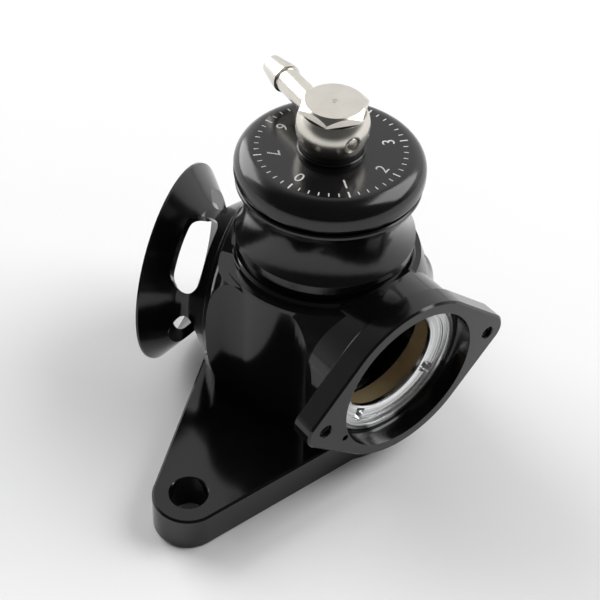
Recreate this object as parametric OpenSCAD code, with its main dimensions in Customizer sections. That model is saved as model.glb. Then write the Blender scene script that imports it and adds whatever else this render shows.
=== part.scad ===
// Blow off valve with a recirculation flange, a flared outlet and an adjuster cap.
// Millimetres. The valve axis is Z, the base plate's underside is at z = 0, and the
// long ear of the base plate points along +X. Both side ports lie across the axis.

/* [Base plate] */
// Thickness of the base plate
plate_t = 10; // [9:0.5:13]
// Radius of the circle that the plate's straight sides touch
plate_r = 27.6; // [26:0.1:28.5]
// Distance from the valve axis to the long ear's bolt hole
ear_long_x = 55.5; // [48:0.5:70]
// Distance from the valve axis to the short ear's bolt hole
ear_short_x = 38.5; // [37:0.5:46]
// Radius of the ears' round ends
ear_r = 8.6; // [7.5:0.1:10]
// Diameter of the two bolt holes
bolt_hole_d = 9; // [6.6:0.1:11]
// Diameter of the inlet bore in the base
inlet_d = 30; // [26:0.5:31]

/* [Body] */
// Radius of the turned body above the plate
body_r = 29; // [28.5:0.1:31]
// Height of the shoulder that the head stands on
shoulder_z = 48; // [47:0.5:54]
// Radius of the shoulder's outer edge
shoulder_r = 22; // [21.8:0.1:23]
// Half angle of the cone under the shoulder
cone_angle = 20; // [15:0.5:22]
// Extra thickness of the cone's quarter between the side flange and the short ear
cone_extra = 1.3; // [0.5:0.1:2]
// Extra thickness of the cone over the long ear
front_extra = 2.9; // [2:0.1:3.4]
// Radius of the boss behind the trumpet
trumpet_boss_r = 28.1; // [27.5:0.1:28.6]
// Distance from the trumpet's axis to the milled flank of its boss
flank_u = 21.3; // [20.9:0.1:22]
// Radius of the boss behind the side flange
flange_boss_r = 25.2; // [24.5:0.1:27]
// Drop from the shoulder to the bosses' milled tops
boss_drop = 1.8; // [1:0.1:3]
// Radius of the turned wall over the long ear
wall_r = 25.2; // [24.8:0.1:25.8]
// Distance from the axis to the pocket wall over the short ear
pocket_x = 23.1; // [22:0.1:24]
// Radius of the pocket's corner beside the side flange
mill_r = 10; // [8:0.1:12]
// Radius of the hollow between the turned wall and that flank
flank_round = 20; // [16:0.5:24]
// Radius of the chamber round the piston
chamber_r = 19; // [18.8:0.1:19.4]
// Chamfer on the outer edges
edge_c = 0.5; // [0.2:0.1:0.8]

/* [Side port] */
// Direction of the side port round the axis
port_az = 70.75; // [65:0.25:80]
// Height of both side ports' axes
port_z = 28.9; // [28:0.1:32]
// Distance from the valve axis to the flange face
flange_reach = 33.8; // [33:0.1:40]
// Thickness of the flange
flange_t = 6; // [4:0.5:7]
// Radius of the flange's middle
flange_r = 22.4; // [22:0.1:23.5]
// Distance from the port axis to the flange's tapped holes
flange_ear_x = 25.1; // [24.5:0.1:30]
// Radius of the flange's ears
flange_ear_r = 5; // [4:0.1:6]
// Diameter of the flange's tapped holes
flange_hole_d = 3.3; // [2.5:0.1:4.2]
// Turn of the flange's hole line from the horizontal
flange_roll = 3; // [0:0.5:6]
// Diameter of the port's bore at the face
port_bore_d = 38.4; // [37.5:0.1:39.5]
// Distance from the valve axis to the insert ring's seat
insert_seat = 25.2; // [24.5:0.1:26]
// Depth of the insert ring
insert_h = 3.3; // [2.8:0.1:4]
// Inner diameter of the insert ring
insert_bore_d = 26.4; // [24:0.1:28]
// Number of spanner notches in the insert ring
insert_notches = 4; // [2:1:6]
// Inner diameter of the brass sleeve behind the insert ring
sleeve_bore_d = 30; // [28.5:0.1:31]
// Wall of the brass sleeve
sleeve_wall = 2; // [1.2:0.1:2.4]
// Length of the brass sleeve
sleeve_l = 5.8; // [4:0.1:5.9]

/* [Trumpet] */
// Direction of the trumpet round the axis
trumpet_az = -76.6; // [-85:0.1:-70]
// Depth of the trumpet's seat inside the body's radius
trumpet_sink = 7; // [6.5:0.1:7.5]
// Length of the trumpet from its seat to its rim
trumpet_l = 16.4; // [15:0.1:22]
// Radius of the trumpet's rim
trumpet_rim_r = 25.7; // [24:0.1:27]
// Radius of the trumpet's collar
collar_r = 20.6; // [19.8:0.1:21]
// Thickness of the trumpet's collar
collar_t = 1.6; // [1:0.1:2.2]
// Radius where the trumpet's two cones would meet
waist_r = 16; // [15.5:0.1:17]
// Distance from the trumpet's seat to that waist
waist_l = 7.8; // [7.2:0.1:9]
// Radius that rounds the waist
waist_round = 3; // [2:0.1:4]
// Wall of the trumpet
trumpet_wall = 2.2; // [1.8:0.1:2.6]
// Number of slots round the waist
slots = 4; // [2:2:6]
// Distance from the trumpet's seat to the middle of the slots
slot_l = 7.5; // [7:0.1:8]
// Width of the slots
slot_w = 7.4; // [5:0.1:7.6]
// Angle of the wide bridges between the slots
bridge_angle = 18; // [14:1:30]
// Angle of the thin bridges, every second one
thin_bridge_angle = 10; // [8:1:30]

/* [Head] */
// Radius of the head's collar over the shoulder
head_collar_r = 21.4; // [20.8:0.1:21.6]
// Gap between the shoulder and the head's collar
head_gap = 2.4; // [1.5:0.1:3]
// Height of the head's collar
head_collar_h = 3; // [2:0.1:4]
// Height of the waisted part between collar and top lip
head_waist_h = 12.8; // [11:0.1:16]
// Depth of the waist
head_waist = 1.5; // [0.8:0.1:2]
// Height of the head's top lip
head_lip_h = 1.8; // [1.2:0.1:2.5]
// Radius of the head's top lip
head_lip_r = 21.6; // [21:0.1:21.9]
// Depth of the head's threaded spigot in the body
head_spigot_h = 11; // [9:0.5:12]
// Diameter of the piston's guide bore
guide_d = 31; // [30:0.1:31.4]
// Wall of the guide liner
liner_wall = 1.5; // [1:0.1:1.6]

/* [Piston and spring] */
// Travel of the piston from closed to open
piston_travel = 10; // [6:0.5:11]
// Reach of the piston's valve face past the inlet bore
nose_lap = 1.8; // [1.4:0.1:2]
// Thickness of the piston's valve face
nose_t = 4.4; // [3.5:0.1:6]
// Wall of the piston's skirt
skirt_wall = 3.4; // [3:0.1:4]
// Diameter of the spring's wire
wire_d = 2.2; // [1.6:0.1:2.6]
// Mean diameter of the spring
spring_d = 19; // [17:0.1:20.5]
// Number of the spring's turns
spring_turns = 8; // [6:1:10]

/* [Cap] */
// Radius of the cap
cap_r = 22; // [21.8:0.1:24]
// Height of the cap over the head's lip
cap_h = 7.6; // [7.5:0.1:9]
// Radius of the cap's rounded edge
cap_round = 4.5; // [2:0.1:4.8]
// Radius of the cap's lower edge
cap_low_round = 1.8; // [0.5:0.1:2]
// Thickness of the cap's top
cap_top = 2.3; // [2:0.1:2.4]
// Running gap under the cap
cap_gap = 0.4; // [0.3:0.05:0.6]
// Rise of the cap for one turn of its thread
thread_pitch = 1.5; // [1:0.1:1.6]
// Turns of the cap from its lowest to its highest place
cap_turns = 1.25; // [0.5:0.25:1.25]
// Radius of the raised boss on the cap
boss_r = 7.8; // [7.4:0.1:9]
// Height of the raised boss
boss_h = 0.8; // [0.4:0.1:2]

/* [Banjo fitting] */
// Radius of the banjo fitting's ball
ball_r = 8.4; // [8:0.1:9.5]
// Thickness of the banjo fitting between its flats
eye_t = 8.2; // [7.4:0.1:9]
// Direction of the hose tail
tail_az = 243.7; // [200:0.1:280]
// Distance from the bolt's axis to the tail's tip
tail_reach = 27.2; // [24:0.1:36]
// Diameter of the tail's stem
stem_d = 5.9; // [5:0.1:6.4]
// Diameter of the tail's barb
barb_d = 6.9; // [6.6:0.1:8]
// Length of the tail's barb
barb_l = 7.2; // [5:0.1:8]
// Diameter of the tail's passage
tail_bore_d = 3; // [2:0.1:3.6]
// Thread diameter of the banjo bolt
banjo_d = 8; // [6:0.1:9]
// Width of the bolt's hexagon across its flats
hex_af = 14; // [12.5:0.1:15]
// Height of the bolt's hexagon
hex_h = 2; // [1.6:0.1:5]
// Thickness of the washer under the fitting
lower_washer_t = 1.3; // [0.8:0.1:2]
// Thickness of the washer under the bolt's head
upper_washer_t = 0.4; // [0.3:0.1:1]

/* [Hidden] */
$fn = 96;
// Depth of the webs' sides under the discs that they join
web_inset = 0.03;
// Small overlap of cutting shapes past a face
eps = 0.5;
// Gap between pieces that are fixed to each other
fit_gap = 0.03;
// Radial gap between pieces that run in each other
run_gap = 0.08;
// Gap between a seal and the walls round it
seal_gap = 0.06;
BLACK = [0.05, 0.05, 0.055];
RUBBER = [0.03, 0.03, 0.03];
NICKEL = [0.78, 0.76, 0.71];
BRASS = [0.66, 0.53, 0.27];
ALUMINIUM = [0.82, 0.83, 0.84];
STEEL = [0.55, 0.56, 0.58];
POLYMER = [0.88, 0.86, 0.8];

// Seat, piston and guide heights
seat_h = 4;
seat_wall = 3;
nose_r = inlet_d / 2 + nose_lap;
seat_top = plate_t + 2.5;
piston_z = seat_top + 0.1;
skirt_r = guide_d / 2 - run_gap;
cup_r = skirt_r - skirt_wall;
cup_floor = piston_z + nose_t + 4;
spigot_z = shoulder_z - head_spigot_h;
collar_z = shoulder_z + head_gap;
waist_z0 = collar_z + head_collar_h;
waist_z1 = waist_z0 + head_waist_h;
lip_z = waist_z1 + head_lip_h;
liner_r = guide_d / 2 + liner_wall;
liner_top = waist_z0 + head_waist_h / 2;
skirt_top = liner_top - piston_travel - 1;
// Wear ring and seal of the piston
ring_depth = 1.1;
wear_ring_h = 2.5;
ring_seal_h = 1.8;
wear_ring_z = skirt_top - 1.5 - wear_ring_h;
ring_seal_z = wear_ring_z - 2.5 - ring_seal_h;

// Cap, its thread and its stop
cap_z = lip_z + cap_gap;
cap_top_z = cap_z + cap_h;
cap_lift = thread_pitch * cap_turns;
spigot_r = cap_r - 3.5;
cap_thread_r = spigot_r + run_gap;
cap_thread_h = 1.4;
cap_room_r = spigot_r + 0.9;
cap_room_z = cap_top_z - cap_top;
retainer_wire = 1;
retainer_z = cap_z + cap_thread_h + cap_lift + 0.25 + retainer_wire / 2;
retainer_in = 0.4;
head_top_z = retainer_z + retainer_wire / 2 + 0.4;
upper_bore_r = guide_d / 2 - 0.5;
cap_seal_d = 0.8;
cap_seal_z = cap_z + cap_thread_h / 2;
boss_top_z = cap_top_z + boss_h;

// Spring seat and its keys
seat_plate_t = 2.4;
seat_plate_z = cap_z - 1.9;
seat_plate_r = upper_bore_r - 0.12;
seat_spigot_h = 2;
key_d = 1.8;
key_z = seat_plate_z + seat_plate_t / 2;
key_out = upper_bore_r + 1.3;
key_in = seat_plate_r - 2.4;
key_slot_gap = 0.1;
boss_low_z = seat_plate_z + seat_plate_t + fit_gap;

// Banjo fitting heights
eye_z0 = boss_top_z + lower_washer_t;
eye_z = eye_z0 + eye_t / 2;
hex_z = eye_z0 + eye_t + upper_washer_t;
banjo_len = hex_z - boss_low_z - 1;
eye_bore_r = banjo_d / 2 + run_gap;
banjo_bore_r = banjo_d / 4;
washer_r = boss_r - 0.6;
hex_land_in = 0.4;
hex_chamfer = 40;
plug_r = 1.7;
plug_seat_r = 2;
plug_sink = 0.3;

// Side ports
barrel_r = flange_r - 0.8;
insert_pocket_r = port_bore_d / 2 - 0.2;
insert_r = insert_pocket_r - 0.15;
insert_face = insert_seat + insert_h;
insert_step = 0.8;
sleeve_r = sleeve_bore_d / 2 + sleeve_wall;
sleeve_z = insert_seat - sleeve_l;
passage_r = sleeve_bore_d / 2;
notch_r = 1.5;
notch_pitch_r = insert_bore_d / 2 + 1.9;
notch_turn = -35;
lock_hole_r = 0.85;
lock_hole_pitch_r = port_bore_d / 2 + lock_hole_r + 0.35;
lock_hole_turn = -158;
lock_hole_depth = 3;
MILL_STEPS = 15;
HOLLOW_STEPS = 8;
pocket_y1 = 0.6 * body_r;

// Trumpet
bridge_turn = 8;
SLOT_STEP = 15;
trumpet_seat = body_r - trumpet_sink;
trumpet_reach = trumpet_seat + trumpet_l;
waist_reach = trumpet_seat + waist_l;
slot_reach = trumpet_seat + slot_l;
boss_side_r = collar_r + 0.6;
trumpet_spigot_r = waist_r - 0.4;
trumpet_spigot_l = 2;
trumpet_bore_r = waist_r - trumpet_wall;
back_slope = (collar_r - 0.4 - waist_r) / (waist_reach - trumpet_seat - collar_t);
flare_slope = (trumpet_rim_r - 1 - waist_r) / (trumpet_reach - 1.4 - waist_reach);

// Seals: the diameter of each cord
base_seal_d = 2.6;
head_seal_d = 1.1;
trumpet_seal_d = 1.1;
insert_seal_d = 1.3;
base_seal_r = inlet_d / 2 + 6.5;
head_seal_z = shoulder_z - 2.5;
insert_seal_z = insert_seat + insert_h / 2;

// Places children with their Z along a port's axis, their Y level and their X pointing down
module on_port(az) {
    translate([0, 0, port_z]) rotate([0, 90, az]) children();
}

// A tube from z0 to z1
module tube(r_in, r_out, z0, z1) {
    rotate_extrude() translate([r_in, z0]) square([r_out - r_in, z1 - z0]);
}

// A round cord bent into a ring
module o_ring(ring_r, cord_d, z) {
    rotate_extrude() translate([ring_r, z]) circle(d = cord_d, $fn = 32);
}

// A disc with both edges chamfered
module chamfered_disc(r, t, c) {
    rotate_extrude() polygon([[0, 0], [r - c, 0], [r, c], [r, t - c], [r - c, t], [0, t]]);
}

// A hole from z0 to z1 that opens wider by a chamfer at both ends
module chamfered_hole(r, z0, z1, c) {
    rotate_extrude() polygon([[0, z0 - eps], [r + c + eps, z0 - eps], [r, z0 + c],
        [r, z1 - c], [r + c + eps, z1 + eps], [0, z1 + eps]]);
}

// The straight-sided web between a disc at the origin and a smaller disc at x, a hair
// inside their common tangents
module web(main_r, x, end_r, t, c) {
    a = acos((main_r - end_r) / x);
    side = [cos(a), sin(a)];
    other = [cos(a), -sin(a)];
    main = main_r - web_inset;
    end = end_r - web_inset;
    difference() {
        linear_extrude(t)
            polygon([main * other, [x, 0] + end * other, [x, 0] + end * side, main * side]);
        for (s = [-1, 1], top = [0, 1]) rotate(s * a) translate([main, 0, top * t])
            mirror([0, 0, 1 - top]) rotate([90, 0, 0]) linear_extrude(2 * x, center = true)
                polygon([[-c - eps, eps], [eps, -c - eps], [eps, eps]]);
    }
}

// A disc with one round ear on each side, its edges chamfered
module eared_plate(main_r, x_right, x_left, end_r, t, c) {
    chamfered_disc(main_r, t, c);
    for (ear = [[x_right, 0], [x_left, 1]]) mirror([ear[1], 0, 0]) {
        translate([ear[0], 0, 0]) chamfered_disc(end_r, t, c);
        web(main_r, ear[0], end_r, t, c);
    }
}

module turned_body() {
    cylinder_z = shoulder_z - (body_r - shoulder_r) / tan(cone_angle);
    rotate_extrude() polygon([[0, 0], [body_r - edge_c, 0], [body_r, edge_c], [body_r, cylinder_z],
        [shoulder_r, shoulder_z - edge_c], [shoulder_r - edge_c, shoulder_z], [0, shoulder_z]]);
}

// A round boss about a port's axis whose end narrows along an arc, drawn in steps
module port_boss(r, end_r, end, steps) {
    lean = 15;
    turn = 90 - 2 * lean;
    arc = (r - end_r) / (cos(lean) - sin(lean));
    rotate_extrude() polygon(concat([[0, 0], [r, 0]],
        [for (i = [0:steps]) let (a = lean + i * turn / steps)
            [r + arc * (cos(a) - cos(lean)), end + arc * (sin(a) - cos(lean))]],
        [[0, end]]));
}

// Takes away all that stands above a height
module milled_at(z) difference() {
    children();
    translate([-2 * body_r, -2 * body_r, z]) cube(4 * body_r);
}

// Both port bosses, milled flat just under the shoulder
module port_bosses() {
    milled_at(shoulder_z - boss_drop) on_port(port_az)
        port_boss(flange_boss_r, barrel_r, flange_reach - 2.7 * flange_t, 1);
    milled_at(shoulder_z - 0.6 * boss_drop) on_port(trumpet_az)
        port_boss(trumpet_boss_r, boss_side_r + 0.6, trumpet_seat - 0.1, 4);
}

// A sector of the cone that is thicker than the rest, its ends hidden in the bosses
module thick_cone(from, to, extra) {
    top = shoulder_z - edge_c - 0.2;
    r = body_r - 0.05;
    low = top - (r - shoulder_r - extra) / tan(cone_angle);
    rotate(from) rotate_extrude(angle = to - from)
        polygon([[shoulder_r - 2, plate_t / 2], [r, plate_t / 2], [r, low], [shoulder_r + extra, top],
            [shoulder_r - 2, top]]);
}

// Room over both ears: in front it ends at the turned wall, the trumpet boss's flank and a milled corner
module bolt_pockets() {
    room = 2 * ear_long_x;
    corner_y = pocket_y1 - mill_r;
    corner = [sqrt(pow(wall_r + mill_r - 0.05, 2) - pow(corner_y, 2)), corner_y];
    corner_end = 180 + asin(corner_y / (wall_r + mill_r));
    flank = [-sin(trumpet_az), cos(trumpet_az)];
    along = [cos(trumpet_az), sin(trumpet_az)];
    hollow_u = flank_u + flank_round;
    hollow_v = sqrt(pow(wall_r + flank_round - 0.08, 2) - pow(hollow_u, 2));
    hollow_turn = atan2(hollow_v, hollow_u);
    translate([0, 0, plate_t]) linear_extrude(room) difference() {
        polygon(concat([[room, -room], [room, pocket_y1]],
            [for (i = [0:MILL_STEPS]) let (a = 90 + i * (corner_end - 90) / MILL_STEPS)
                corner + mill_r * [cos(a), sin(a)]],
            [for (i = [0:HOLLOW_STEPS]) let (a = hollow_turn * (1 - i / HOLLOW_STEPS))
                (hollow_u - flank_round * cos(a)) * flank + (hollow_v - flank_round * sin(a)) * along],
            [flank_u * flank + room * along]));
        circle(r = wall_r);
    }
    translate([-pocket_x - room, -room, plate_t]) cube([room, 2 * room, room]);
}

module flange() {
    translate([0, 0, flange_reach - flange_t]) rotate(90 + flange_roll)
        eared_plate(flange_r, flange_ear_x, flange_ear_x, flange_ear_r, flange_t, edge_c);
}

module side_port_cuts() {
    face = flange_reach + eps;
    translate([0, 0, insert_face]) cylinder(r = port_bore_d / 2, h = face - insert_face);
    translate([0, 0, insert_seat]) cylinder(r = insert_pocket_r, h = face - insert_seat);
    translate([0, 0, sleeve_z]) cylinder(r = sleeve_r + fit_gap, h = face - sleeve_z);
    cylinder(r = passage_r, h = face);
    rotate(90 + flange_roll) for (s = [-1, 1]) translate([s * flange_ear_x, 0, 0])
        chamfered_hole(flange_hole_d / 2, flange_reach - flange_t, flange_reach, edge_c / 2);
    rotate(90 + lock_hole_turn) translate([lock_hole_pitch_r, 0, flange_reach - lock_hole_depth])
        cylinder(r = lock_hole_r, h = lock_hole_depth + eps);
}

module trumpet_port_cuts() {
    cylinder(r = trumpet_spigot_r + fit_gap, h = trumpet_seat + eps);
    translate([0, 0, trumpet_seat]) cylinder(r = boss_side_r, h = trumpet_reach);
}

module inlet_cuts() {
    translate([0, 0, seat_top]) cylinder(r = chamber_r, h = shoulder_z);
    translate([0, 0, seat_top - seat_h]) cylinder(r = inlet_d / 2 + seat_wall - 0.5 + fit_gap, h = seat_h + eps);
    translate([0, 0, -eps]) cylinder(r = inlet_d / 2, h = plate_t + eps);
    depth = base_seal_d + 2 * seal_gap;
    width = base_seal_d + 4 * seal_gap;
    tube(base_seal_r - width / 2, base_seal_r + width / 2, -eps, depth);
}

module valve_body() color(BLACK) difference() {
    union() {
        eared_plate(plate_r, ear_long_x, ear_short_x, ear_r, plate_t, edge_c);
        difference() {
            union() {
                turned_body();
                port_bosses();
                thick_cone(port_az + 24, 185, cone_extra);
                thick_cone(trumpet_az + 46, port_az - 26, front_extra);
                on_port(port_az) cylinder(r = barrel_r, h = flange_reach - flange_t / 2);
                on_port(trumpet_az) cylinder(r = boss_side_r, h = trumpet_seat);
            }
            bolt_pockets();
        }
        on_port(port_az) flange();
    }
    translate([0, 0, shoulder_z]) cylinder(r = shoulder_r + 0.2, h = shoulder_z);
    inlet_cuts();
    on_port(port_az) side_port_cuts();
    on_port(trumpet_az) trumpet_port_cuts();
    for (x = [ear_long_x, -ear_short_x]) translate([x, 0, 0])
        chamfered_hole(bolt_hole_d / 2, 0, plate_t, edge_c / 2);
}

module base_o_ring() color(RUBBER)
    o_ring(base_seal_r, base_seal_d, base_seal_d / 2 + seal_gap);

module seat_ring() color(STEEL)
    tube(inlet_d / 2 - 0.5, inlet_d / 2 + seat_wall - 0.5, seat_top - seat_h, seat_top);

// Half section of the head's outside, with the waist as one arc
module head_section() {
    step_r = chamber_r + 1.2;
    spigot = chamber_r - fit_gap;
    half = head_waist_h / 2;
    arc_r = (half * half + head_waist * head_waist) / (2 * head_waist);
    arc_x = head_collar_r - 0.3 - head_waist + arc_r;
    rim = head_collar_r - 0.3;
    difference() {
        polygon([[liner_r, spigot_z], [spigot, spigot_z], [spigot, shoulder_z], [step_r, shoulder_z],
            [step_r, collar_z], [head_collar_r - 0.3, collar_z], [head_collar_r, collar_z + 0.3],
            [head_collar_r, waist_z0 - 0.3], [rim, waist_z0], [rim, waist_z1],
            [head_lip_r, waist_z1 + 0.3], [head_lip_r, lip_z - 0.3], [head_lip_r - 0.3, lip_z],
            [spigot_r, lip_z], [spigot_r, head_top_z - 0.3], [spigot_r - 0.3, head_top_z],
            [upper_bore_r, head_top_z], [upper_bore_r, liner_top], [liner_r, liner_top]]);
        translate([arc_x, liner_top]) circle(r = arc_r, $fn = 180);
    }
}

module head() color(BLACK) difference() {
    rotate_extrude() head_section();
    head_groove = head_seal_d / 2 + seal_gap;
    tube(chamber_r - head_seal_d - 2 * seal_gap, chamber_r + eps, head_seal_z - head_groove,
        head_seal_z + head_groove);
    groove = retainer_wire / 2 + seal_gap;
    tube(spigot_r - retainer_in - seal_gap, spigot_r + eps, retainer_z - groove, retainer_z + groove);
    for (a = [0, 180]) rotate(a)
        translate([upper_bore_r - 1, -key_d / 2 - key_slot_gap, key_z - key_d / 2 - key_slot_gap])
            cube([key_out + 0.2 - upper_bore_r + 1, key_d + 2 * key_slot_gap, head_top_z]);
}

module head_o_ring() color(RUBBER)
    o_ring(chamber_r - head_seal_d / 2 - seal_gap, head_seal_d, head_seal_z);

module guide_liner() color(POLYMER)
    tube(guide_d / 2, liner_r - fit_gap, spigot_z, liner_top - fit_gap);

module piston() color(BLACK) difference() {
    relief = inlet_d / 2 - 1.2;
    rotate_extrude() polygon([[0, piston_z - 1.5], [relief - 1, piston_z - 1.5], [relief, piston_z - 0.5],
        [relief, piston_z + 0.3], [nose_r - 0.5, piston_z + 0.3], [nose_r, piston_z + 0.8],
        [nose_r, piston_z + nose_t], [skirt_r, piston_z + nose_t], [skirt_r, skirt_top],
        [cup_r, skirt_top], [cup_r, cup_floor], [0, cup_floor]]);
    for (ring = [[wear_ring_z, wear_ring_h], [ring_seal_z, ring_seal_h]])
        tube(skirt_r - ring_depth, skirt_r + eps, ring[0] - seal_gap, ring[0] + ring[1] + seal_gap);
    nose_seal_tube(seal_gap);
}

// The nose seal's square section, or its groove when grown
module nose_seal_tube(grow) {
    tube(inlet_d / 2 + 0.1 - grow, nose_r - 0.6 + grow, piston_z, piston_z + 1.2 + grow);
}

module piston_nose_seal() color(RUBBER) nose_seal_tube(0);

module piston_wear_ring() color(POLYMER)
    tube(skirt_r - ring_depth + seal_gap, skirt_r + run_gap / 2, wear_ring_z, wear_ring_z + wear_ring_h);

module piston_ring_seal() color(RUBBER)
    tube(skirt_r - ring_depth + seal_gap, skirt_r + run_gap / 2, ring_seal_z, ring_seal_z + ring_seal_h);

// Spring: a wire swept along a coil whose end turns lie flat
WIRE_SIDES = 8;
RINGS_PER_TURN = 16;
END_TURN = 0.9;
spring_z0 = cup_floor + fit_gap + wire_d / 2;
spring_z1 = seat_plate_z - fit_gap - wire_d / 2;
function spring_rise(turn) =
    let (free = spring_turns - 2 * END_TURN, low = wire_d * END_TURN)
    turn < END_TURN ? wire_d * turn
    : turn > spring_turns - END_TURN ? spring_z1 - spring_z0 - wire_d * (spring_turns - turn)
    : low + (spring_z1 - spring_z0 - 2 * low) * (turn - END_TURN) / free;
function wire_point(i, k) =
    let (turn = i / RINGS_PER_TURN, a = 360 * turn, b = 360 * k / WIRE_SIDES,
        r = spring_d / 2 + wire_d / 2 * cos(b))
    [r * cos(a), r * sin(a), spring_z0 + spring_rise(turn) + wire_d / 2 * sin(b)];

module spring() color(STEEL) {
    rings = spring_turns * RINGS_PER_TURN;
    last = rings * WIRE_SIDES;
    points = [for (i = [0:rings], k = [0:WIRE_SIDES - 1]) wire_point(i, k)];
    walls = [for (i = [0:rings - 1], k = [0:WIRE_SIDES - 1])
        let (a = i * WIRE_SIDES + k, b = i * WIRE_SIDES + (k + 1) % WIRE_SIDES)
        each [[a, a + WIRE_SIDES, b + WIRE_SIDES], [a, b + WIRE_SIDES, b]]];
    ends = [[for (k = [0:WIRE_SIDES - 1]) k], [for (k = [WIRE_SIDES - 1:-1:0]) last + k]];
    polyhedron(points, concat(walls, ends));
}

module spring_seat() color(ALUMINIUM) difference() {
    union() {
        translate([0, 0, seat_plate_z]) chamfered_disc(seat_plate_r, seat_plate_t, 0.3);
        translate([0, 0, seat_plate_z - seat_spigot_h])
            cylinder(r = spring_d / 2 - wire_d / 2 - 0.5, h = seat_spigot_h + eps);
    }
    translate([0, 0, seat_plate_z - seat_spigot_h - eps]) cylinder(r = banjo_d / 2, h = seat_plate_z);
    for (a = [0, 180]) rotate([0, 90, a]) translate([-key_z, 0, key_in - fit_gap])
        cylinder(d = key_d + 2 * fit_gap, h = seat_plate_r);
}

module seat_keys() color(STEEL) for (a = [0, 180]) rotate([0, 90, a])
    translate([-key_z, 0, key_in]) cylinder(d = key_d, h = key_out - key_in);

// Half section of the cap: a rounded lid with a boss in the middle and room for the head's spigot
module cap_section() difference() {
    union() {
        intersection() {
            translate([cap_r - cap_round, cap_top_z - cap_round]) circle(r = cap_round);
            translate([cap_r - cap_round - 0.01, cap_top_z - cap_round - 0.01]) square(cap_round + eps);
        }
        polygon(concat([[0, boss_low_z], [spigot_r - 1, boss_low_z], [spigot_r - 1, cap_z]],
            [for (a = [-90:15:0]) [cap_r, cap_z + cap_low_round] + cap_low_round * [cos(a) - 1, sin(a)]],
            [[cap_r, cap_top_z - cap_round], [cap_r - cap_round, cap_top_z], [boss_r, cap_top_z],
                [boss_r, boss_top_z - 0.2], [boss_r - 0.2, boss_top_z], [0, boss_top_z]]));
    }
    polygon([[boss_r, cap_z - eps], [cap_thread_r, cap_z - eps], [cap_thread_r, cap_z + cap_thread_h],
        [cap_room_r, cap_z + cap_thread_h], [cap_room_r, cap_room_z], [boss_r, cap_room_z]]);
}

module cap() color(BLACK) difference() {
    rotate_extrude() cap_section();
    translate([0, 0, boss_low_z - eps]) cylinder(r = banjo_d / 2 + fit_gap, h = cap_h + boss_top_z);
    groove = cap_seal_d / 2 + seal_gap;
    tube(cap_thread_r - eps, cap_thread_r + cap_seal_d, cap_seal_z - groove, cap_seal_z + groove);
}

module cap_o_ring() color(RUBBER)
    o_ring(cap_thread_r + cap_seal_d / 2 - seal_gap / 2, cap_seal_d - seal_gap, cap_seal_z);

module cap_retainer() color(STEEL)
    o_ring(spigot_r - retainer_in + retainer_wire / 2, retainer_wire, retainer_z);

module lower_washer() color(RUBBER)
    tube(banjo_d / 2 + fit_gap, washer_r, boss_top_z, eye_z0);

module upper_washer() color(RUBBER)
    tube(banjo_d / 2 + fit_gap, hex_af / 2 - 0.3, hex_z - upper_washer_t, hex_z);

// Places children with their Z along the hose tail, from the bolt's axis
module on_tail() {
    translate([0, 0, eye_z]) rotate([0, 90, tail_az]) children();
}

// Half section of the hose tail, from inside the ball to the tip
module tail_section() {
    barb_z = tail_reach - barb_l;
    tip_r = tail_bore_d / 2 + 0.6;
    polygon([[0, ball_r / 2], [stem_d / 2, ball_r / 2], [stem_d / 2, barb_z], [barb_d / 2, barb_z + 0.2],
        [barb_d / 2, barb_z + 1.2], [barb_d / 2 - 0.5, barb_z + barb_l * 0.55],
        [tip_r + 0.35, tail_reach - 0.35], [tip_r, tail_reach], [0, tail_reach]]);
}

module banjo_eye() color(NICKEL) difference() {
    union() {
        intersection() {
            translate([0, 0, eye_z]) sphere(r = ball_r);
            translate([0, 0, eye_z0]) cylinder(r = 2 * ball_r, h = eye_t);
        }
        on_tail() rotate_extrude() tail_section();
    }
    translate([0, 0, eye_z0 - eps]) cylinder(r = eye_bore_r, h = eye_t + 2 * eps);
    on_tail() cylinder(d = tail_bore_d, h = tail_reach + eps);
    on_tail() rotate([180, 0, 0]) {
        cylinder(r = plug_r + fit_gap, h = 2 * ball_r);
        translate([0, 0, ball_r - plug_sink]) cylinder(r = plug_seat_r, h = ball_r);
    }
}

module eye_plug() color(NICKEL) on_tail() rotate([180, 0, 0])
    rotate_extrude() polygon([[0, eye_bore_r + 0.6], [plug_r, eye_bore_r + 0.6],
        [plug_r, ball_r - plug_sink - 0.5], [plug_r - 0.4, ball_r - plug_sink - 0.1],
        [0, ball_r - plug_sink]]);

module hexagon_head() {
    corner_r = hex_af / sqrt(3);
    outside_r = corner_r + eps;
    land_r = hex_af / 2 - hex_land_in;
    drop = (outside_r - land_r) * tan(hex_chamfer);
    intersection() {
        translate([0, 0, hex_z]) rotate(20) cylinder(r = corner_r, h = hex_h, $fn = 6);
        rotate_extrude() polygon([[0, hex_z - eps], [outside_r, hex_z - eps], [outside_r, hex_z + hex_h - drop],
            [land_r, hex_z + hex_h + 0.01], [0, hex_z + hex_h + 0.01]]);
    }
}

module banjo_bolt() color(NICKEL) difference() {
    union() {
        hexagon_head();
        translate([0, 0, hex_z - banjo_len]) cylinder(d = banjo_d, h = banjo_len + hex_h / 2);
    }
    translate([0, 0, hex_z - banjo_len - eps])
        cylinder(r = banjo_bore_r, h = eye_z + tail_bore_d - hex_z + banjo_len + eps);
    on_tail() cylinder(d = tail_bore_d, h = banjo_d, center = true);
}

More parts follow.
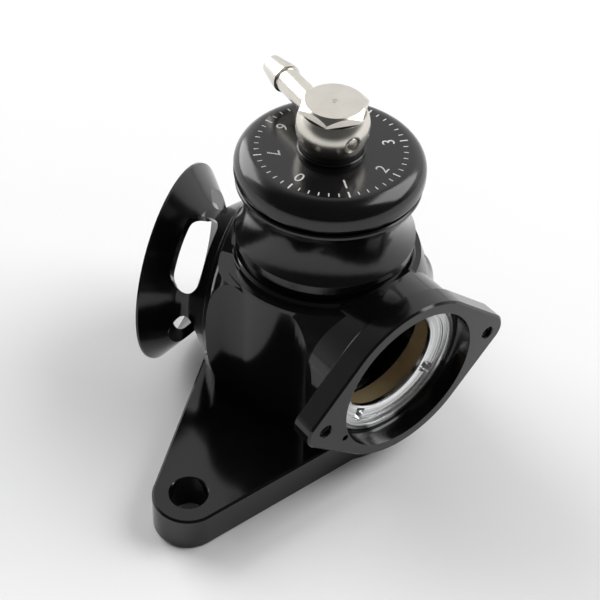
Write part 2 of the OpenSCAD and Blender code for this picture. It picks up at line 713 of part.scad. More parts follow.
// Half section of the trumpet's outside or inside: two cones rounded into each other
module trumpet_cones(r_shift) {
    back_a = atan(back_slope);
    flare_a = atan(flare_slope);
    meet = waist_r + r_shift;
    far = 2 * trumpet_reach;
    arc_turn = (180 - back_a - flare_a) / 2;
    arc_off = waist_round / sin(arc_turn);
    lean = (flare_a - back_a) / 2;
    arc = [meet + arc_off * cos(lean), waist_reach - arc_off * sin(lean)];
    back_foot = arc - waist_round * [cos(back_a), sin(back_a)];
    flare_foot = arc - waist_round * [cos(flare_a), -sin(flare_a)];
    difference() {
        polygon([[0, 0], [meet + back_slope * waist_reach, 0], back_foot, arc, flare_foot,
            [meet + flare_slope * (far - waist_reach), far], [0, far]]);
        translate(arc) circle(r = waist_round);
    }
}

module trumpet_section() {
    seat = trumpet_seat;
    wall_shift = trumpet_wall / cos(atan(flare_slope));
    difference() {
        intersection() {
            trumpet_cones(0);
            translate([0, seat]) square([trumpet_rim_r, trumpet_reach - seat]);
        }
        intersection() {
            trumpet_cones(-wall_shift);
            translate([0, waist_reach]) square([2 * trumpet_rim_r, trumpet_reach]);
        }
        square([trumpet_bore_r, 2 * trumpet_reach]);
    }
    polygon([[trumpet_bore_r, seat], [collar_r, seat], [collar_r, seat + collar_t - 0.5],
        [collar_r - 0.5, seat + collar_t], [trumpet_bore_r, seat + collar_t]]);
    translate([trumpet_bore_r, seat - trumpet_spigot_l])
        square([trumpet_spigot_r - trumpet_bore_r, trumpet_spigot_l + eps]);
}

// One round-ended slot, cut straight outwards from the trumpet's axis
module trumpet_slot() {
    half = waist_r * sin(180 / slots - (bridge_angle + thin_bridge_angle) / 4) - slot_w / 2;
    translate([waist_r / 3, 0, slot_reach]) rotate([0, 90, 0]) linear_extrude(trumpet_rim_r)
        polygon([for (s = [1, -1], a = [0:SLOT_STEP:180])
            s * [slot_w / 2 * cos(a), half + slot_w / 2 * sin(a)]]);
}

module trumpet() color(BLACK) on_port(trumpet_az) difference() {
    rotate_extrude() trumpet_section();
    shift = (bridge_angle - thin_bridge_angle) / 4;
    for (i = [0:slots - 1])
        rotate(90 + bridge_turn + (i + 0.5) * 360 / slots + (i % 2 == 0 ? shift : -shift)) trumpet_slot();
    groove = trumpet_seal_d / 2 + seal_gap;
    tube(trumpet_spigot_r - trumpet_seal_d - seal_gap, trumpet_spigot_r + eps,
        trumpet_seat - trumpet_spigot_l / 2 - groove, trumpet_seat - trumpet_spigot_l / 2 + groove);
}

module trumpet_o_ring() color(RUBBER) on_port(trumpet_az)
    o_ring(trumpet_spigot_r - trumpet_seal_d / 2, trumpet_seal_d, trumpet_seat - trumpet_spigot_l / 2);

module port_insert() color(ALUMINIUM) on_port(port_az) difference() {
    bore = insert_bore_d / 2;
    face = insert_face;
    land = (insert_r - bore) / 4;
    rotate_extrude() polygon([[bore, insert_seat], [insert_r, insert_seat], [insert_r, face - 0.3],
        [insert_r - 0.3, face], [insert_r - land, face], [insert_r - land, face - insert_step / 2],
        [insert_r - 2 * land, face - insert_step], [insert_r - 2 * land, face - 1.5 * insert_step],
        [insert_r - 3 * land, face - 2 * insert_step], [bore + 0.4, face - 2.4 * insert_step],
        [bore, face - 2.8 * insert_step]]);
    for (i = [0:insert_notches - 1]) rotate(90 + notch_turn + i * 360 / insert_notches)
        translate([notch_pitch_r, 0, insert_seat + 0.8]) {
            cylinder(r = notch_r, h = insert_h);
            translate([-notch_r, -notch_r, 0]) cube([notch_r, 2 * notch_r, insert_h]);
        }
    groove = insert_seal_d / 2 + seal_gap;
    tube(insert_r - insert_seal_d, insert_r + eps, insert_seal_z - groove, insert_seal_z + groove);
}

module port_insert_o_ring() color(RUBBER) on_port(port_az)
    o_ring(insert_r - insert_seal_d / 2 + seal_gap, insert_seal_d, insert_seal_z);

module port_sleeve() color(BRASS) on_port(port_az)
    tube(sleeve_bore_d / 2, sleeve_r, sleeve_z, insert_seat);

valve_body();
base_o_ring();
seat_ring();
head();
head_o_ring();
guide_liner();
piston();
piston_nose_seal();
piston_wear_ring();
piston_ring_seal();
spring();
spring_seat();
seat_keys();
cap();
cap_o_ring();
cap_retainer();
lower_washer();
banjo_eye();
eye_plug();
upper_washer();
banjo_bolt();
trumpet();
trumpet_o_ring();
port_insert();
port_insert_o_ring();
port_sleeve();
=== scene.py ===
"""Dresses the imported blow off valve.

Finishes, smooth shells over the solids, dial marks, thread crests and the studio.
"""
import logging
import math
from dataclasses import dataclass, field
from enum import Enum
from typing import Optional, Sequence, Union

import bmesh
import bpy
from mathutils import Matrix, Vector


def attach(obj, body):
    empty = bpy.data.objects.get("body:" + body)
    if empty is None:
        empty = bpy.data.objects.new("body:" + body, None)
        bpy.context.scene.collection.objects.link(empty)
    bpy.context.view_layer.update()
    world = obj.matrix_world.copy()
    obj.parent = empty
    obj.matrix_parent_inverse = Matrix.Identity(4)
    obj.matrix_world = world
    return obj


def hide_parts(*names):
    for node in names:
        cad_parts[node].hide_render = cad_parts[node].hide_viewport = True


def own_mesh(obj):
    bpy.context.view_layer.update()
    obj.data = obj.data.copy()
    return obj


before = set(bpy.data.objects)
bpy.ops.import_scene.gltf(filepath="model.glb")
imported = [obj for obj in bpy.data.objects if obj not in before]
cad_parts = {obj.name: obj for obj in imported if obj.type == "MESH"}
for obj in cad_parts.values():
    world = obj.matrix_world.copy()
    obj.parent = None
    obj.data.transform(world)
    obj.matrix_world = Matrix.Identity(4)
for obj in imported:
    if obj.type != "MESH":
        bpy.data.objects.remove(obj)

LOG = logging.getLogger("valve")
MM = 0.001
WELD = 0.002 * MM
SLIVER = 0.001 * MM
RING_SKEW = 0.83
CLOUD_SPAN = (0.3, 0.7)
LINE_SPAN = (0.35, 0.65)
MARK_DEPTH = 0.05 * MM
FIGURE_T = 0.02 * MM
FIGURE_STEPS = 4
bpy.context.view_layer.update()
Number = Union[int, float]


class Sock:
    """A node socket that takes part in Python expressions, each adding its Math node."""

    def __init__(self, graph: "Graph", socket: bpy.types.NodeSocket) -> None:
        """Keeps the socket and the graph that it belongs to."""
        self.graph = graph
        self.socket = socket

    def _math(self, operation: str, left: object, right: object = 0.0) -> "Sock":
        """Adds one Math node.

        Args:
            operation: The node's operation.
            left: The first value or link.
            right: The second value or link.

        Returns:
            The node's result.
        """
        return self.graph.node("ShaderNodeMath", {"operation": operation}, {0: left, 1: right})

    def __add__(self, other: object) -> "Sock":
        """self + other."""
        return self._math("ADD", self, other)

    __radd__ = __add__

    def __sub__(self, other: object) -> "Sock":
        """self - other."""
        return self._math("SUBTRACT", self, other)

    def __rsub__(self, other: object) -> "Sock":
        """other - self."""
        return self._math("SUBTRACT", other, self)

    def __mul__(self, other: object) -> "Sock":
        """self * other."""
        return self._math("MULTIPLY", self, other)

    __rmul__ = __mul__

    def __truediv__(self, other: object) -> "Sock":
        """self / other."""
        return self._math("DIVIDE", self, other)

    def __mod__(self, other: object) -> "Sock":
        """self % other."""
        return self._math("MODULO", self, other)

    def __lt__(self, other: object) -> "Sock":
        """1 where self < other, else 0."""
        return self._math("LESS_THAN", self, other)

    def cos(self) -> "Sock":
        """The cosine."""
        return self._math("COSINE", self)

    def sin(self) -> "Sock":
        """The sine."""
        return self._math("SINE", self)

    def ramp(self, low: Number, high: Number, to_low: Number = 0.0, to_high: Number = 1.0) -> "Sock":
        """Maps low..high smoothly to to_low..to_high, and holds the ends.

        Args:
            low: The value where the ramp starts.
            high: The value where the ramp ends.
            to_low: The result at the start.
            to_high: The result at the end.

        Returns:
            The mapped value.
        """
        return self.graph.node("ShaderNodeMapRange", {"interpolation_type": "SMOOTHSTEP"},
                               {"Value": self, "From Min": low, "From Max": high,
                                "To Min": to_low, "To Max": to_high})


class Graph:
    """A node tree with one method that adds any node."""

    def __init__(self, tree: bpy.types.NodeTree) -> None:
        """Keeps the tree."""
        self.tree = tree

    def node(self, kind: str, settings: Optional[dict] = None, sockets: Optional[dict] = None,
             out: Union[int, str] = 0) -> Sock:
        """Adds a node.

        Args:
            kind: The node's type.
            settings: Properties that are set first, such as a Math node's operation.
            sockets: Values or links, by socket name or number.
            out: The output that is returned.

        Returns:
            The chosen output.
        """
        made = self.tree.nodes.new(kind)
        for key, value in (settings or {}).items():
            setattr(made, key, value)
        for key, value in (sockets or {}).items():
            target = made.inputs[key]
            if isinstance(value, Sock):
                self.tree.links.new(value.socket, target)
            else:
                target.default_value = value
        return Sock(self, made.outputs[out])

    def other(self, sock: Sock, name: Union[int, str]) -> Sock:
        """Another output of the same node."""
        return Sock(self, sock.socket.node.outputs[name])

    def mix(self, factor: object, low: object, high: object) -> Sock:
        """Mixes two colours.

        Args:
            factor: 0 for low, 1 for high.
            low: A colour or link.
            high: A colour or link.

        Returns:
            The mixed colour.
        """
        return self.node("ShaderNodeMix", {"data_type": "RGBA"}, {0: factor, 6: low, 7: high}, out=2)


class Lathe(Enum):
    """The axes that pieces are turned about: a point in millimetres and a direction."""

    VALVE = ((0.0, 0.0, 0.0), (0.0, 0.0, 1.0))
    SIDE_PORT = ((0.0, 0.0, 28.9), (0.3296906, 0.944089, 0.0))
    TRUMPET = ((0.0, 0.0, 28.9), (0.2317471, -0.9727760, 0.0))
    HOSE_TAIL = ((0.0, 0.0, 82.2), (-0.4430712, -0.8964864, 0.0))


def turned(graph: Graph, lathe: Lathe) -> tuple[Sock, Sock]:
    """Distance from a lathe axis and place along it, in metres.

    Args:
        graph: The material's graph.
        lathe: The axis.

    Returns:
        The radius and the place along the axis.
    """
    point, direction = lathe.value
    here = graph.node("ShaderNodeTexCoord", out="Object")
    arm = graph.node("ShaderNodeVectorMath", {"operation": "SUBTRACT"},
                     {0: here, 1: Vector(point) * MM})
    along = graph.node("ShaderNodeVectorMath", {"operation": "DOT_PRODUCT"},
                       {0: arm, 1: direction}, out="Value")
    across = graph.node("ShaderNodeVectorMath", {"operation": "CROSS_PRODUCT"}, {0: arm, 1: direction})
    radius = graph.node("ShaderNodeVectorMath", {"operation": "LENGTH"}, {0: across}, out="Value")
    return radius, along


@dataclass(frozen=True)
class Finish:
    """A surface finish with fine tool marks, cloudy gloss and softened edges."""

    name: str
    colour: tuple[float, float, float]
    second: tuple[float, float, float]
    metallic: float
    roughness: float
    cloud: float = 0.05
    cloud_scale: float = 160.0
    lathe: Optional[Lathe] = None
    pitch: float = 0.25 * MM
    marks: float = 0.08
    streak: tuple[float, float, float] = (1.0, 1.0, 1.0)
    edge: float = 0.12 * MM
    ior: float = 1.5
    lined: float = 0.3

    def line_value(self, graph: Graph) -> Sock:
        """The height of the tool marks: rings round a lathe axis, or streaks of a mill.

        Args:
            graph: The material's graph.

        Returns:
            The height, about 0 to 1.
        """
        if self.lathe is not None:
            radius, along = turned(graph, self.lathe)
            return graph.node("ShaderNodeTexNoise", {"noise_dimensions": "1D"},
                              {"W": (radius * RING_SKEW + along) / self.pitch, "Scale": 1.0, "Detail": 3.0})
        here = graph.node("ShaderNodeTexCoord", out="Object")
        stretched = graph.node("ShaderNodeMapping", None, {"Vector": here, "Scale": self.streak})
        return graph.node("ShaderNodeTexNoise", None,
                          {"Vector": stretched, "Scale": 1.0 / self.pitch, "Detail": 4.0, "Roughness": 0.6})

    def shade(self, graph: Graph, shader: bpy.types.Node) -> None:
        """Links the finish's colour, gloss and normal to the shader.

        Args:
            graph: The material's graph.
            shader: The material's shader.
        """
        here = graph.node("ShaderNodeTexCoord", out="Object")
        cloud = graph.node("ShaderNodeTexNoise", None,
                           {"Vector": here, "Scale": self.cloud_scale, "Detail": 5.0, "Roughness": 0.55})
        lines = self.line_value(graph)
        tone = cloud.ramp(*CLOUD_SPAN) * (1.0 - self.lined) + lines.ramp(*LINE_SPAN) * self.lined
        colour = graph.mix(tone, (*self.colour, 1.0), (*self.second, 1.0))
        gloss = (cloud - 0.5) * (2 * self.cloud) + (lines - 0.5) * self.cloud + self.roughness
        soft = graph.node("ShaderNodeBevel", {"samples": 4}, {"Radius": self.edge})
        bump = graph.node("ShaderNodeBump", None, {"Strength": self.marks, "Distance": MARK_DEPTH,
                                                   "Height": lines, "Normal": soft})
        for name, value in (("Base Color", colour), ("Roughness", gloss), ("Normal", bump)):
            graph.tree.links.new(value.socket, shader.inputs[name])

    def make(self) -> bpy.types.Material:
        """Makes the material.

        Returns:
            The material with its node tree.
        """
        material = bpy.data.materials.new(self.name)
        material.use_nodes = True
        graph = Graph(material.node_tree)
        shader = material.node_tree.nodes["Principled BSDF"]
        shader.inputs["Metallic"].default_value = self.metallic
        shader.inputs["IOR"].default_value = self.ior
        self.shade(graph, shader)
        material.diffuse_color = (*self.colour, 1.0)
        return material


ANODISE = dict(colour=(0.0032, 0.0032, 0.0035), second=(0.0055, 0.0055, 0.006), metallic=0.0, cloud=0.02)
NICKEL = dict(colour=(0.64, 0.61, 0.55), second=(0.72, 0.69, 0.63), metallic=1.0, roughness=0.24, cloud=0.05)
RUBBER = Finish("black_rubber", (0.010, 0.010, 0.010), (0.018, 0.018, 0.018), 0.0, 0.55, cloud=0.08,
                cloud_scale=900.0, pitch=0.12 * MM, marks=0.2)
STEEL = Finish("plain_steel", (0.36, 0.37, 0.38), (0.48, 0.49, 0.5), 1.0, 0.3, pitch=0.15 * MM, marks=0.1)
POLYMER = Finish("white_polymer", (0.72, 0.7, 0.64), (0.8, 0.78, 0.72), 0.0, 0.45, pitch=0.2 * MM)
BODY_BLACK = Finish("milled_black_anodise", **ANODISE, roughness=0.12, pitch=0.5 * MM, marks=0.04,
                    streak=(1.0, 1.0, 0.03), edge=0.04 * MM)
TURNED_BLACK = Finish("turned_black_anodise", **ANODISE, roughness=0.18, lathe=Lathe.VALVE, pitch=0.2 * MM,
                      marks=0.05, edge=0.06 * MM)
TRUMPET_BLACK = Finish("trumpet_black_anodise", **ANODISE, roughness=0.15, lathe=Lathe.TRUMPET,
                       pitch=0.2 * MM, marks=0.06, edge=0.08 * MM)
BOLT_NICKEL = Finish("bolt_nickel_plate", **NICKEL, lathe=Lathe.VALVE, pitch=0.18 * MM, marks=0.05)
EYE_NICKEL = Finish("fitting_nickel_plate", **NICKEL, lathe=Lathe.HOSE_TAIL, pitch=0.18 * MM, marks=0.04)
MARK_NICKEL = Finish("centre_mark_nickel", (0.5, 0.475, 0.43), (0.6, 0.57, 0.52), 1.0, 0.32,
                     lathe=Lathe.VALVE, pitch=0.12 * MM, marks=0.1)
INSERT_ALUMINIUM = Finish("turned_aluminium", (0.68, 0.69, 0.7), (0.98, 0.98, 0.98), 1.0, 0.2,
                          lathe=Lathe.SIDE_PORT, pitch=0.55 * MM, marks=0.5, edge=0.06 * MM, lined=0.85)
SEAT_ALUMINIUM = Finish("seat_aluminium", (0.66, 0.67, 0.68), (0.8, 0.81, 0.82), 1.0, 0.3,
                        lathe=Lathe.VALVE, pitch=0.28 * MM, marks=0.3)
SLEEVE_BRASS = Finish("turned_brass", (0.94, 0.72, 0.4), (1.0, 0.8, 0.48), 0.7, 0.4,
                      lathe=Lathe.SIDE_PORT, pitch=0.3 * MM, marks=0.2)
PALE_INK = Finish("engraved_marks", (0.62, 0.61, 0.58), (0.78, 0.77, 0.74), 0.0, 0.5, cloud=0.1,
                  cloud_scale=2200.0, pitch=0.1 * MM, marks=0.1)


class FinishRack:
    """Makes each finish's material once."""

    def __init__(self) -> None:
        """Starts with no materials."""
        self._made: dict[str, bpy.types.Material] = {}

    def get(self, finish: Finish) -> bpy.types.Material:
        """The finish's material, made at its first use.

        Args:
            finish: The finish.

        Returns:
            Its material.
        """
        if finish.name not in self._made:
            self._made[finish.name] = finish.make()
        return self._made[finish.name]


RACK = FinishRack()


def linked(name: str, mesh: bpy.types.Mesh) -> bpy.types.Object:
    """Puts a mesh in the scene as an object at the origin.

    Args:
        name: The object's name.
        mesh: Its mesh.

    Returns:
        The object.
    """
    piece = bpy.data.objects.new(name, mesh)
    bpy.context.scene.collection.objects.link(piece)
    return piece


def baked(piece: bpy.types.Object) -> bpy.types.Object:
    """Replaces a piece's mesh by its evaluated form and drops its modifiers.

    Args:
        piece: The object with modifiers.

    Returns:
        The same object with a plain mesh.
    """
    graph = bpy.context.evaluated_depsgraph_get()
    mesh = bpy.data.meshes.new_from_object(piece.evaluated_get(graph), depsgraph=graph)
    old = piece.data
    piece.modifiers.clear()
    piece.data = mesh
    mesh.name = piece.name
    if old.users == 0:
        bpy.data.meshes.remove(old)
    return piece


def smooth_shell(node: str, name: str, crease: float = math.radians(24)) -> bpy.types.Object:
    """A merged and smoothly shaded copy of a solid's mesh.

    Args:
        node: The solid's name.
        name: The new piece's name.
        crease: Edges that turn more than this stay sharp.

    Returns:
        The new piece, at the origin.
    """
    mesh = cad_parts[node].data.copy()
    mesh.name = name
    for layer in [a for a in mesh.attributes if a.name == "custom_normal"]:
        mesh.attributes.remove(layer)
    form = bmesh.new()
    form.from_mesh(mesh)
    bmesh.ops.remove_doubles(form, verts=form.verts, dist=WELD)
    bmesh.ops.dissolve_degenerate(form, edges=form.edges, dist=SLIVER)
    for face in form.faces:
        face.smooth = True
    for edge in form.edges:
        edge.smooth = not (edge.is_manifold and edge.calc_face_angle(0.0) > crease)
    form.to_mesh(mesh)
    form.free()
    piece = linked(name, mesh)
    weigh = piece.modifiers.new("weigh", "WEIGHTED_NORMAL")
    weigh.keep_sharp = True
    return baked(piece)


def dress(piece: bpy.types.Object, finish: Finish) -> None:
    """Gives a piece one finish."""
    piece.data.materials.clear()
    piece.data.materials.append(RACK.get(finish))


@dataclass(frozen=True)
class Shell:
    """A solid's smooth copy and its finish."""

    node: str
    name: str
    finish: Finish
    slot: str


@dataclass
class SubAssembly:
    """Pieces that ride on one body."""

    body: str
    shells: Sequence[Shell] = ()
    inner: dict[str, Finish] = field(default_factory=dict)

    def build(self) -> list[bpy.types.Object]:
        """Makes the smooth shells and dresses the inner solids.

        Returns:
            The new pieces.
        """
        made = []
        for shell in self.shells:
            piece = smooth_shell(shell.node, shell.name)
            dress(piece, shell.finish)
            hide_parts(shell.node)
            self.settle(piece, shell.slot)
            made.append(piece)
        for node, finish in self.inner.items():
            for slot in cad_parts[node].material_slots:
                slot.material = RACK.get(finish)
        return made + self.details()

    def settle(self, piece: bpy.types.Object, slot: str) -> None:
        """Makes a piece ride on its body."""
        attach(piece, self.body)

    def details(self) -> list[bpy.types.Object]:
        """Further pieces of the sub-assembly."""
        return []


@dataclass
class ThreadRings:
    """The crests of an internal thread, as rings along a hole's axis."""

    name: str
    start: Vector
    axis: Vector
    radius: float
    pitch: float
    count: int
    ring_steps: int = 40
    crest_steps: int = 6
    crest_share: float = 0.3

    def tree(self, material: bpy.types.Material) -> bpy.types.GeometryNodeTree:
        """Builds the geometry tree: rings placed along a line.

        Args:
            material: The rings' material.

        Returns:
            The tree, with Count, Radius, Pitch and Crest as inputs.
        """
        tree = bpy.data.node_groups.new(self.name, "GeometryNodeTree")
        tree.interface.new_socket("Count", in_out="INPUT", socket_type="NodeSocketInt")
        for name in ("Radius", "Pitch", "Crest"):
            tree.interface.new_socket(name, in_out="INPUT", socket_type="NodeSocketFloat")
        tree.interface.new_socket("Mesh", in_out="OUTPUT", socket_type="NodeSocketGeometry")
        graph = Graph(tree)
        count = graph.node("NodeGroupInput", out="Count")
        step = graph.node("ShaderNodeCombineXYZ", None, {"Z": graph.other(count, "Pitch")})
        line = graph.node("GeometryNodeMeshLine", {"mode": "OFFSET"}, {"Count": count, "Offset": step})
        ring = graph.node("GeometryNodeCurvePrimitiveCircle", None,
                          {"Resolution": self.ring_steps, "Radius": graph.other(count, "Radius")})
        section = graph.node("GeometryNodeCurvePrimitiveCircle", None,
                             {"Resolution": self.crest_steps, "Radius": graph.other(count, "Crest")})
        tube = graph.node("GeometryNodeCurveToMesh", None, {"Curve": ring, "Profile Curve": section})
        many = graph.node("GeometryNodeInstanceOnPoints", None, {"Points": line, "Instance": tube})
        real = graph.node("GeometryNodeRealizeInstances", None, {"Geometry": many})
        dressed = graph.node("GeometryNodeSetMaterial", None, {"Geometry": real, "Material": material})
        end = tree.nodes.new("NodeGroupOutput")
        tree.links.new(dressed.socket, end.inputs["Mesh"])
        return tree

    def build(self, finish: Finish) -> bpy.types.Object:
        """Makes the rings as one plain mesh.

        Args:
            finish: The rings' finish.

        Returns:
            The new piece, at the origin.
        """
        piece = linked(self.name, bpy.data.meshes.new(self.name))
        tree = self.tree(RACK.get(finish))
        modifier = piece.modifiers.new("rings", "NODES")
        modifier.node_group = tree
        values = {"Count": self.count, "Radius": self.radius, "Pitch": self.pitch,
                  "Crest": self.crest_share * self.pitch}
        for item in tree.interface.items_tree:
            if item.in_out == "INPUT":
                modifier[item.identifier] = values[item.name]
        baked(piece)
        turn = self.axis.to_track_quat("Z", "Y").to_matrix().to_4x4()
        piece.data.transform(Matrix.Translation(self.start) @ turn)
        for face in piece.data.polygons:
            face.use_smooth = True
        return piece


@dataclass
class Housing(SubAssembly):
    """The billet body with its ports, the head, the trumpet and the side port's rings."""

    flange_reach: float = 33.8 * MM
    flange_t: float = 6.0 * MM
    ear_x: float = 25.1 * MM
    roll: float = math.radians(3.0)
    hole_r: float = 1.65 * MM
    pitch: float = 0.7 * MM
    crests: int = 7
    crest_gap: float = 0.05 * MM
    thread_inset: float = 0.6 * MM

    def details(self) -> list[bpy.types.Object]:
        """Thread crests in the flange's two tapped holes.

        Returns:
            The crests of each hole.
        """
        out = Vector(Lathe.SIDE_PORT.value[1])
        level = Vector((-out.y, out.x, 0.0))
        side = level * math.cos(self.roll) + Vector((0.0, 0.0, 1.0)) * math.sin(self.roll)
        centre = Vector(Lathe.SIDE_PORT.value[0]) * MM
        made = []
        for sign, name in ((1.0, "left"), (-1.0, "right")):
            reach = self.flange_reach - self.flange_t + self.thread_inset
            start = centre + out * reach + side * (sign * self.ear_x)
            rings = ThreadRings(f"flange_thread_{name}", start, out, self.hole_r + self.crest_gap, self.pitch,
                                self.crests)
            piece = rings.build(BODY_BLACK)
            self.settle(piece, "black_anodise")
            made.append(piece)
        return made


@dataclass
class ReturnSpring(SubAssembly):
    """The coil over the piston."""

    joint: str = "piston_slide"
    travel: float = 10.0 * MM

    def details(self) -> list[bpy.types.Object]:
        """The coil as a smooth copy of its solid.

        Returns:
            The coil alone.
        """
        coil = smooth_shell("spring", "return_spring")
        dress(coil, STEEL)
        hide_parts("spring")
        self.settle(coil, "spring_steel")
        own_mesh(coil)
        return [coil]


def flat_text(word: str, size: float) -> bmesh.types.BMesh:
    """A word as a thin flat mesh, centred at the origin.

    Args:
        word: The figures or signs.
        size: Height of the type in metres.

    Returns:
        The mesh form.
    """
    curve = bpy.data.curves.new("figure", "FONT")
    curve.body = word
    curve.size = size
    curve.align_x, curve.align_y = "CENTER", "CENTER"
    curve.extrude = FIGURE_T
    curve.resolution_u = FIGURE_STEPS
    holder = bpy.data.objects.new("figure", curve)
    bpy.context.scene.collection.objects.link(holder)
    graph = bpy.context.evaluated_depsgraph_get()
    mesh = bpy.data.meshes.new_from_object(holder.evaluated_get(graph), depsgraph=graph)
    form = bmesh.new()
    form.from_mesh(mesh)
    bpy.data.objects.remove(holder)
    bpy.data.curves.remove(curve)
    bpy.data.meshes.remove(mesh)
    return form


@dataclass
class Dial:
    """Pale marks on the cap's top: plain figures and ticks."""

    top: float = 76.0 * MM
    tick_r: float = 16.9 * MM
    ticks: int = 48
    tick_l: float = 1.1 * MM
    tick_w: float = 0.26 * MM
    tick_h: float = 0.04 * MM
    long_every: int = 6
    long_stretch: float = 0.7
    long_widen: float = 0.5
    figure_r: float = 13.4 * MM
    figure_size: float = 4.2 * MM
    figures: int = 8

    def tick_tree(self, material: bpy.types.Material) -> bpy.types.GeometryNodeTree:
        """Builds the geometry tree of the ticks: bars on a circle, some of them long.

        Args:
            material: The ticks' material.

        Returns:
            The tree, with Count, Radius, Length, Width and Height as inputs.
        """
        tree = bpy.data.node_groups.new("dial_ticks", "GeometryNodeTree")
        tree.interface.new_socket("Count", in_out="INPUT", socket_type="NodeSocketInt")
        for name in ("Radius", "Length", "Width", "Height"):
            tree.interface.new_socket(name, in_out="INPUT", socket_type="NodeSocketFloat")
        tree.interface.new_socket("Mesh", in_out="OUTPUT", socket_type="NodeSocketGeometry")
        graph = Graph(tree)
        count = graph.node("NodeGroupInput", out="Count")
        radius, length = graph.other(count, "Radius"), graph.other(count, "Length")
        line = graph.node("GeometryNodeMeshLine", {"mode": "OFFSET"}, {"Count": count})
        index = graph.node("GeometryNodeInputIndex")
        angle = index * math.tau / count
        place = graph.node("ShaderNodeCombineXYZ", None, {
            "X": angle.cos() * radius, "Y": angle.sin() * radius, "Z": graph.other(count, "Height")})
        spread = graph.node("GeometryNodeSetPosition", None, {"Geometry": line, "Position": place})
        size = graph.node("ShaderNodeCombineXYZ", None, {
            "X": length, "Y": graph.other(count, "Width"), "Z": self.tick_h})
        bar = graph.node("GeometryNodeMeshCube", None, {"Size": size})
        turn = graph.node("ShaderNodeCombineXYZ", None, {"Z": angle})
        long = (index % self.long_every) < 0.5
        scale = graph.node("ShaderNodeCombineXYZ", None, {
            "X": long * self.long_stretch + 1.0, "Y": long * self.long_widen + 1.0, "Z": 1.0})
        many = graph.node("GeometryNodeInstanceOnPoints", None,
                          {"Points": spread, "Instance": bar, "Rotation": turn, "Scale": scale})
        real = graph.node("GeometryNodeRealizeInstances", None, {"Geometry": many})
        dressed = graph.node("GeometryNodeSetMaterial", None, {"Geometry": real, "Material": material})
        end = tree.nodes.new("NodeGroupOutput")
        tree.links.new(dressed.socket, end.inputs["Mesh"])
        return tree

    def ticks_mesh(self) -> bpy.types.Object:
        """The ticks as one plain mesh.

        Returns:
            The ticks, at the origin.
        """
        piece = linked("cap_dial", bpy.data.meshes.new("cap_dial"))
        tree = self.tick_tree(RACK.get(PALE_INK))
        modifier = piece.modifiers.new("ticks", "NODES")
        modifier.node_group = tree
        values = {"Count": self.ticks, "Radius": self.tick_r, "Length": self.tick_l, "Width": self.tick_w,
                  "Height": self.top}
        for item in tree.interface.items_tree:
            if item.in_out == "INPUT":
                modifier[item.identifier] = values[item.name]
        return baked(piece)

    def figure_forms(self) -> list[bmesh.types.BMesh]:
        """The figures round the dial.

        Returns:
            One mesh form for each figure.
        """
        forms = []
        for number in range(self.figures):
            angle = math.tau * number / self.figures
            form = flat_text(str(number), self.figure_size)
            place = Matrix.Rotation(angle, 4, "Z") @ Matrix.Translation((self.figure_r, 0.0, self.top))
            form.transform(place @ Matrix.Rotation(math.pi / 2, 4, "Z"))
            forms.append(form)
        return forms

    def build(self) -> bpy.types.Object:
        """Joins the ticks and figures to one piece.

        Returns:
            The dial, at the origin.
        """
        piece = self.ticks_mesh()
        whole = bmesh.new()
        whole.from_mesh(piece.data)
        for form in self.figure_forms():
            part = bpy.data.meshes.new("part")
            form.to_mesh(part)
            form.free()
            whole.from_mesh(part)
            bpy.data.meshes.remove(part)
        whole.to_mesh(piece.data)
        whole.free()
        dress(piece, PALE_INK)
        return piece


@dataclass
class CentreMark:
    """The small turned centre in the middle of the bolt's top, as a thin disc with a raised rim."""

    top: float = 88.7 * MM
    radius: float = 0.7 * MM
    rim: float = 0.08 * MM
    dish: float = 0.005 * MM
    lip: float = 0.01 * MM
    foot: float = 0.02 * MM
    steps: int = 48
    weld: float = 0.0001 * MM

    def build(self) -> bpy.types.Object:
        """Spins the mark's half section round the valve's axis.

        Returns:
            The mark, at the origin.
        """
        form = bmesh.new()
        section = [(0.0, self.dish), (self.radius - self.rim, self.lip), (self.radius, self.rim / 2),
                   (self.radius + self.rim, -self.foot)]
        chain = [form.verts.new((r, 0.0, self.top + z)) for r, z in section]
        edges = [form.edges.new(pair) for pair in zip(chain, chain[1:])]
        bmesh.ops.spin(form, geom=chain + edges, cent=(0, 0, 0), axis=(0, 0, 1), angle=math.tau,
                       steps=self.steps, use_merge=True)
        bmesh.ops.remove_doubles(form, verts=form.verts, dist=self.weld)
        bmesh.ops.recalc_face_normals(form, faces=form.faces)
        for face in form.faces:
            face.smooth = True
        mesh = bpy.data.meshes.new("bolt_centre")
        form.to_mesh(mesh)
        form.free()
        piece = linked("bolt_centre", mesh)
        dress(piece, MARK_NICKEL)
        return piece


@dataclass
class Adjuster(SubAssembly):
    """The cap with its dial, and the banjo bolt with its washers."""

    dial: Dial = field(default_factory=Dial)
    mark: CentreMark = field(default_factory=CentreMark)

    def details(self) -> list[bpy.types.Object]:
        """The dial on the cap and the mark on the bolt.

        Returns:
            The dial and the mark.
        """
        dial, mark = self.dial.build(), self.mark.build()
        self.settle(dial, "bare_aluminium")
        self.settle(mark, "nickel_plate")
        return [dial, mark]


